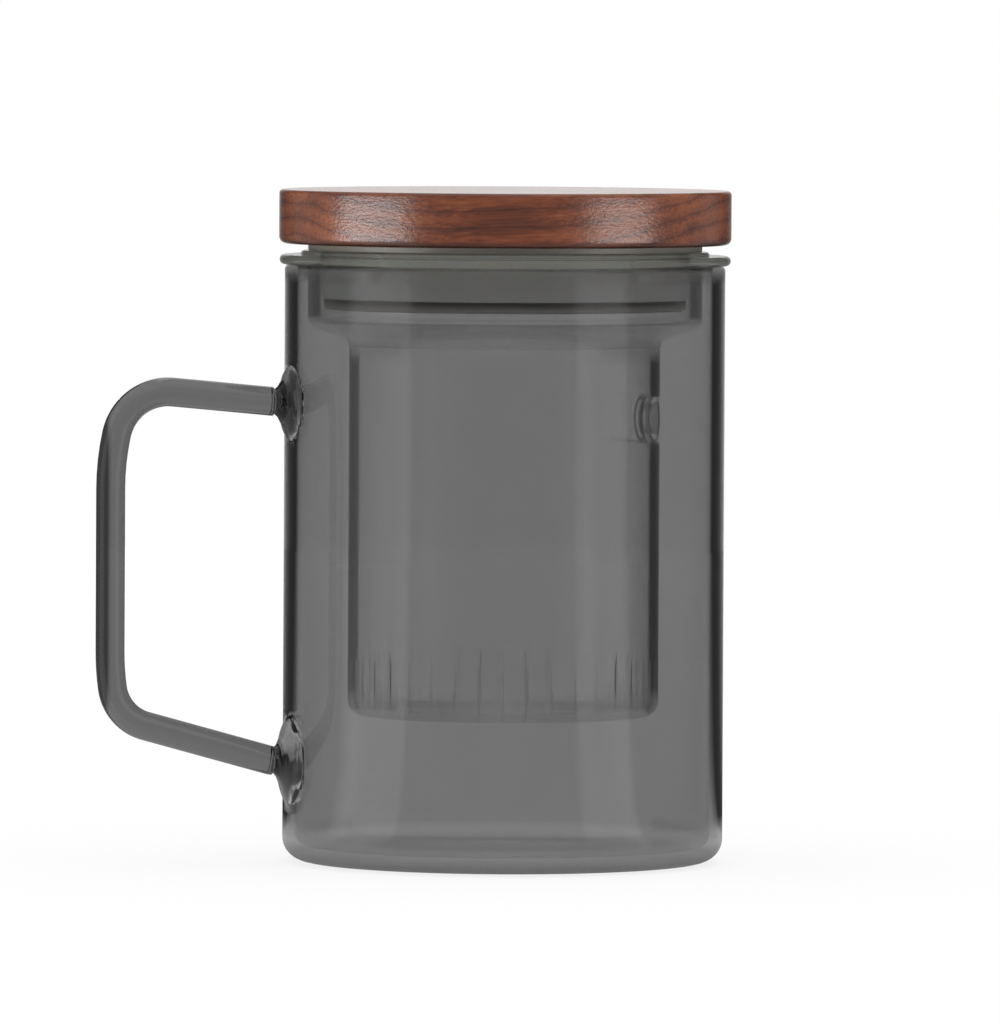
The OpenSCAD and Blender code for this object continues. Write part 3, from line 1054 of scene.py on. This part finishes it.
def wood_grain_group():
    group, source, result = new_group(
        "wood grain", {"Dark": "Color", "Middle": "Color", "Light": "Color", "Layer": "Float"},
        {"Color": "Color", "Pores": "Float"})
    board = add(group, "Mapping", {
        "Vector": place_on(group), "Location": BOARD_SHIFT, "Rotation": BOARD_TURN}).outputs[0]
    parts = add(group, "SeparateXYZ", {"Vector": board}).outputs
    cross = add(group, "CombineXYZ", {"Y": parts["Y"], "Z": parts["Z"]})
    from_pith = measured(group, "LENGTH", cross.outputs[0])
    bend = noise(group, stretched(group, board, BEND_SCALE), 1.0, 2.0)
    bent = join(group, "MULTIPLY_ADD", bend, LAYER_BEND, from_pith)
    year = ramp(group, join(group, "FRACT", join(group, "DIVIDE", bent, source["Layer"])), YEAR)

    fibre = noise(group, stretched(group, board, FIBRE_SCALE), 1.0, 3.0)
    stain = noise(group, stretched(group, board, STAIN_SCALE), 1.0, 3.0)
    tone = join(group, "MULTIPLY_ADD", fibre, FIBRE_SHARE, year)
    tone = join(group, "MULTIPLY_ADD", stain, STAIN_SHARE, tone)
    tone = mask(group, tone, 1.05, 2.1)
    colour = mixed(group, mask(group, tone, 0.0, 0.55), source["Dark"], source["Middle"])
    colour = mixed(group, mask(group, tone, 0.5, 1.0), colour, source["Light"])

    pits = noise(group, stretched(group, board, PORE_SCALE), 1.0, 1.0)
    pores = mask(group, pits, 0.60, 0.68)
    colour = mixed(group, product(group, pores, PORE_SHARE), colour, source["Dark"])
    group.links.new(colour, result["Color"])
    group.links.new(pores, result["Pores"])
    return group


wood_grain = wood_grain_group()

# %% [markdown]
# The lacquer is a clear coat. It sinks a little into the pores and dries with a fine orange-peel
# skin, which breaks up the highlights. Both go into the bump, and the coat lies over it. The
# lower edge of each piece gets a painted tone: painted shade along the disc's lower edge, and
# painted light on the plug's rim, where the glass throws light on it. The plug's dark colours
# are partly the wood's own and partly painted shade of the gap under the seal.

# %% Wood materials
LAYER = 3.4 * MM
SKIN_SCALE = (800, 800, 2000)
PORE_DEPTH = -0.08
EDGE_SOLID = 0.3


def wood_material(name, colours, edge, finish, peel):
    """Wood with its dark, middle and light colours. The edge is (height, depth, colour, share) of a
    tone painted along the lower edge, painted shade on the disc and painted light on the plug,
    and the finish gives the shader's own values."""
    made, tree = material(name)
    tones = {socket: (*tone, 1) for socket, tone in zip(("Dark", "Middle", "Light"), colours)}
    grain = add(tree, "Group", {"Layer": LAYER, **tones}, node_tree=wood_grain)
    edge_z, edge_h, painted_edge_colour, edge_share = edge
    # The lower edge's tone is painted: painted shade on the disc, painted light on the plug.
    at_painted_edge = mask(tree, position(tree)["Z"], edge_z + edge_h, edge_z + EDGE_SOLID * edge_h)
    at_painted_edge = product(tree, at_painted_edge, edge_share)
    dimples = noise(tree, stretched(tree, place_on(tree), SKIN_SCALE), 1.0, 3.0, 0.6)
    depth = join(tree, "MULTIPLY_ADD", grain.outputs["Pores"], PORE_DEPTH, dimples)
    bump = add(tree, "Bump", {"Strength": 1.0, "Distance": peel, "Height": depth})
    wood = add(tree, "BsdfPrincipled", {
        "Base Color": mixed(tree, at_painted_edge, grain.outputs["Color"], painted_edge_colour),
        "Specular IOR Level": 0.15,
        "Normal": bump.outputs[0],
        "Coat Normal": bump.outputs[0],
        **finish})
    show(tree, wood)
    return made


lid_wood = wood_material(
    "lacquered_wood",
    [(0.03, 0.0055, 0.0018), (0.128, 0.027, 0.0078), (0.27, 0.073, 0.021)],
    # Painted shade: a dark tone along the disc's lower edge.
    (LID_Z, 1.4 * MM, (0.02, 0.007, 0.004), 0.7),
    {"Roughness": 0.5, "Coat Weight": 1.0, "Coat Roughness": 0.2},
    0.085 * MM)
plug_wood_and_painted_shade = wood_material(
    "dark_plug_wood_and_painted_shade",
    # Dark tones: partly the plug wood's own colour, partly painted shade of the gap under the seal.
    [(0.02, 0.012, 0.009), (0.05, 0.028, 0.02), (0.09, 0.05, 0.036)],
    # Painted light: a pale tone on the plug's lower rim, where the glass throws light on it.
    (PLUG_Z, 1.6 * MM, (0.5, 0.48, 0.45), 1.0),
    {"Roughness": 0.6, "Coat Weight": 0.1, "Coat Roughness": 0.4},
    0.02 * MM)
dress(disc, lid_wood, "lid")
dress(plug, plug_wood_and_painted_shade, "lid")

# %% [markdown]
# ## Silicone
# The seal is pale and lets a little light into itself, so it gets some subsurface scattering, a
# broad gloss and a moulded, slightly mottled skin. Its flange is painted much darker: painted
# shade under the lid's overhang. A see-through seal would be slow and grainy.

# %% Silicone material
MOTTLES_PER_METRE = 260
MOTTLE_H = 0.01 * MM


def silicone_material():
    made, tree = material("pale_silicone")
    mottle = noise(tree, place_on(tree), MOTTLES_PER_METRE, 4.0)
    # Painted shade: the flange under the lid's overhang gets a dark tone.
    at_flange = mask(tree, position(tree)["Z"], LIP_Z - 0.3 * MM, LIP_Z)
    colour = mixed(tree, mottle, (0.86, 0.845, 0.825), (0.94, 0.925, 0.905))
    bump = add(tree, "Bump", {"Strength": 1.0, "Distance": MOTTLE_H, "Height": mottle})
    soft = add(tree, "BsdfPrincipled", {
        "Base Color": mixed(tree, at_flange, colour, (0.15, 0.138, 0.115)),
        "Roughness": 0.42,
        "Subsurface Weight": 0.35,
        "Subsurface Scale": 0.002,
        "Normal": bump.outputs[0]})
    show(tree, soft)
    return made


dress(seal, silicone_material(), "lid")

# %% [markdown]
# ## What the glass mirrors
# Glass shows what is round it, so the room is part of its look. Looking at the room or straight
# through the glass shows white. What the glass mirrors is another matter: the studio is grey on
# the camera's side, with two tall softboxes, dark flags stand beside the white backdrop, and only
# straight behind is it white. Real cards could stand there, but would show through the glass as
# well. So one group holds that surround by compass direction, for the world and the floor.

# %% Studio surround
FRONT_GREY = 0.35
FLAG_DARK = 0.04
STRIP_LIGHT = 1.1
CEILING_LIGHT = 0.6
REAR = [
    (135, FRONT_GREY), (141, FLAG_DARK), (156, FLAG_DARK), (163, 0.12), (169, 0.35), (175, 0.85),
    (180, 1)]
STRIPS = [
    (-92, 0), (-87, 0.45), (-81, 0.72), (-76, 0.6), (-70, 0.52), (-62, 0.56), (-58, 0.5),
    (-51.5, 0.46), (-49.5, 0), (36.5, 0), (39, 0.35), (45, 0.48), (50, 0.4), (56, 0.48),
    (63, 0.56), (66.5, 0.5), (68, 0)]
front = Vector((to_camera.x, to_camera.y, 0)).normalized()


def surround_group():
    """Brightness that is mirrored, by direction. The compass angle is 0 towards the camera and
    grows to its right, and 180 is straight behind the mug."""
    group, source, result = new_group(
        "studio surround", {"Direction": "Vector"}, {"Mirrored": "Float"})
    sideways = measured(group, "DOT_PRODUCT", source["Direction"], camera_right)
    ahead = measured(group, "DOT_PRODUCT", source["Direction"], front)
    turn = mask(group, join(group, "ARCTAN2", sideways, ahead), -math.pi, math.pi)

    def by_compass(stops):
        """Brightness over the compass, from (degrees, brightness) pairs."""
        return ramp(group, turn, [((degrees + 180) / 360, value) for degrees, value in stops])

    room = by_compass([(-degrees, value) for degrees, value in reversed(REAR)] + REAR)
    unit = add(group, "VectorMath", {0: source["Direction"]}, operation="NORMALIZE")
    up = add(group, "SeparateXYZ", {"Vector": unit.outputs[0]}).outputs["Z"]
    strips = product(group, by_compass(STRIPS), mask(group, up, 0.75, 0.6))
    whole = join(group, "MULTIPLY_ADD", strips, STRIP_LIGHT, room)
    whole = join(group, "MULTIPLY_ADD", mask(group, up, 0.5, 0.85), CEILING_LIGHT, whole)
    group.links.new(whole, result["Mirrored"])
    return group


surround = surround_group()

# %% [markdown]
# ## Which ray asks
# The Light Path node says what kind of ray asks for the brightness. A ray that lights a matt
# surface gets the soft room light. A ray that has been mirrored at least once gets the surround.
# A ray that only went straight on through glass gets the white backdrop, and so does the camera.
# A single grey world would be simpler, but then the glass would be grey on grey.

# %% World
ROOM_LIGHT = 0.8


def asking_ray(tree):
    """Masks for the ray that asks: seen by the camera, passed on or mirrored sharply, mirrored at
    least once, and met by a matt surface."""
    path = add(tree, "LightPath").outputs
    sharp = join(tree, "MAXIMUM", path["Is Transmission Ray"], path["Is Glossy Ray"])
    bounced = join(tree, "MINIMUM", path["Glossy Depth"], 1)
    matt = join(tree, "MINIMUM", path["Diffuse Depth"], 1)
    return path["Is Camera Ray"], sharp, bounced, matt


def mirrored_light(tree, direction):
    """The surround's brightness in a direction."""
    return add(tree, "Group", {"Direction": direction}, node_tree=surround).outputs["Mirrored"]


world = bpy.data.worlds.new("studio")
bpy.context.scene.world = world
world.use_nodes = True
world.cycles.sampling_method = "NONE"
bpy.context.scene.cycles.blur_glossy = 0
sky = world.node_tree
sky.nodes.clear()
seen, sharp, bounced, matt = asking_ray(sky)
heading = add(sky, "TexCoord").outputs["Generated"]
sharp_look = blend(sky, bounced, 1.0, mirrored_light(sky, heading))
any_ray = blend(sky, matt, blend(sky, sharp, ROOM_LIGHT, sharp_look), ROOM_LIGHT)
strength = blend(sky, seen, any_ray, 1.0)
backdrop = add(sky, "Background", {"Color": (1, 1, 1, 1), "Strength": strength})
show(sky, backdrop, "OutputWorld")
print("world:", len(sky.nodes), "nodes")

# %% [markdown]
# ## The floor
# The floor is a plain pale disc. Straight looks see it white, with the mug's soft shadow, and
# it fades into the white backdrop at its edge. Mirrored looks see it as they would see the room
# beyond it, apart from a paler patch near the mug. A floor that only catches shadows would leave
# the glass nothing to mirror.

# %% Floor
FLOOR_R = 1.3
FLOOR_DROP = 0.3 * MM
FLOOR_SIDES = 96
WHITE_SHARE = 0.78
FLOOR_GLOW = 1.06
PATCH_LIGHT = 0.6


def floor_material():
    made, tree = material("pale_floor")
    seen, sharp, bounced, matt = asking_ray(tree)
    straight = product(tree, join(tree, "MAXIMUM", sharp, seen), join(tree, "SUBTRACT", 1, matt))
    away = measured(tree, "LENGTH", place_on(tree))
    past_patch = mask(tree, away, 0.05, 0.15)
    mirrored = blend(tree, past_patch, PATCH_LIGHT, mirrored_light(tree, place_on(tree)))
    whiteness = blend(tree, mask(tree, away, 0.25, 1.2), WHITE_SHARE, 1.0)
    share = product(tree, join(tree, "MAXIMUM", whiteness, bounced), straight)
    paint = add(tree, "BsdfDiffuse", {"Color": (0.8, 0.8, 0.8, 1)})
    glow = add(tree, "Emission", {
        "Color": (1, 1, 1, 1), "Strength": blend(tree, bounced, FLOOR_GLOW, mirrored)})
    show(tree, shader_mix(tree, share, paint, glow))
    return made


floor_edge = [(FLOOR_R * c, FLOOR_R * s, -FLOOR_DROP) for c, s in circle(FLOOR_SIDES)]
floor = piece("floor", *skin([floor_edge, [(0, 0, -FLOOR_DROP)]]))
floor.data.materials.append(floor_material())
print(f"floor {2 * FLOOR_R} m wide, {FLOOR_DROP / MM} mm under the mug")

# %% [markdown]
# ## Softboxes for the lid
# Lacquer needs lamps to mirror. Two upright softboxes give the disc its two bright patches. They
# light only the lid's pieces, by light linking, because curved glass would show hard bands. Their
# top edge is level with the lid's top, which then never mirrors them.

# %% Softboxes
BOX_AWAY = 0.5
BOX_H = 0.2
lid_pieces = bpy.data.collections.new("lid pieces")
for thing in (disc, plug, seal):
    lid_pieces.objects.link(thing)


def lamp(name, shape, size, energy, place):
    """A flat lamp, which neither the camera nor a ray that goes through glass sees."""
    data = bpy.data.lights.new(name, "AREA")
    data.shape = shape
    data.size = size
    data.energy = energy
    made = bpy.data.objects.new(name, data)
    made.location = place
    made.visible_camera = False
    made.visible_transmission = False
    bpy.context.scene.collection.objects.link(made)
    print(f"{name}: {size:.2f} m wide, {energy:.2f} W")
    return made


def softbox(name, turn, span, radiance):
    """An upright soft lamp for the lid's pieces, turned from the camera's direction by an angle
    and spanning another. A flat lamp of radiance L sends out pi times L times its area."""
    direction = Matrix.Rotation(turn, 3, "Z") @ front
    wide = 2 * BOX_AWAY * math.tan(span / 2)
    place = direction * BOX_AWAY + Vector((0, 0, LID_TOP_Z - BOX_H / 2))
    box = lamp(name, "RECTANGLE", wide, math.pi * radiance * wide * BOX_H, place)
    box.data.size_y = BOX_H
    box.rotation_mode = "QUATERNION"
    box.rotation_quaternion = (-direction).to_track_quat("-Z", "Y")
    box.light_linking.receiver_collection = lid_pieces


softbox("softbox_left", math.radians(-70), math.radians(40), 7.0)
softbox("softbox_right", math.radians(60), math.radians(32), 5.2)

# %% [markdown]
# ## One lamp overhead
# The room light comes from all sides and throws no shadow of its own. A wide, weak disc lamp
# above the mug puts a soft one on the floor. Glass mirrors don't see it.

# %% Overhead lamp
OVERHEAD_Z = 1.1
OVERHEAD_D = 0.9
OVERHEAD_W = 3.0

overhead = lamp("overhead", "DISK", OVERHEAD_D, OVERHEAD_W, (0, 0, OVERHEAD_Z))
overhead.visible_glossy = False
